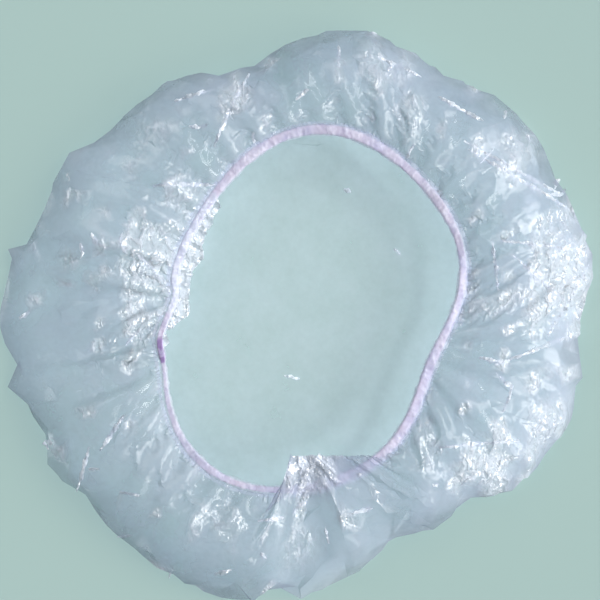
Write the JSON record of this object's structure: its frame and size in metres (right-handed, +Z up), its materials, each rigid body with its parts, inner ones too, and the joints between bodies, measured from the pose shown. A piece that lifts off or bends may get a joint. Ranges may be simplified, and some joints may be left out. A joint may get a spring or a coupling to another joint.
{
  "type": "shower cap",
  "caption": "Disposable shower cap of thin clear film, lying crown down: flat crown, thin rim, swelling skirt gathered into a hem casing round a pale pink elastic band.",
  "frame": {"origin": "on the table, under the middle of the cap's width and length", "axes": "+Z up out of the mouth, +Y towards the top of the picture, +X towards its right side"},
  "size_m": [0.2984, 0.2862, 0.0366],
  "materials": {
    "clear_film": "thin clear polyethylene film with a faint lavender haze, crinkled and glossy",
    "hem_film": "the same film, doubled and finely gathered round the elastic",
    "fused_film": "two layers of film fused by heat into one line",
    "elastic": "pale pink elastic strip, slightly ribbed",
    "fused_elastic": "elastic fused by heat, darker than the strip"
  },
  "bodies": {
    "root": {"cap_film": "clear_film", "hem_casing": "hem_film", "hem_seal": "fused_film", "elastic_band": "elastic", "elastic_lap_weld": "fused_elastic"}
  },
  "joints": []
}
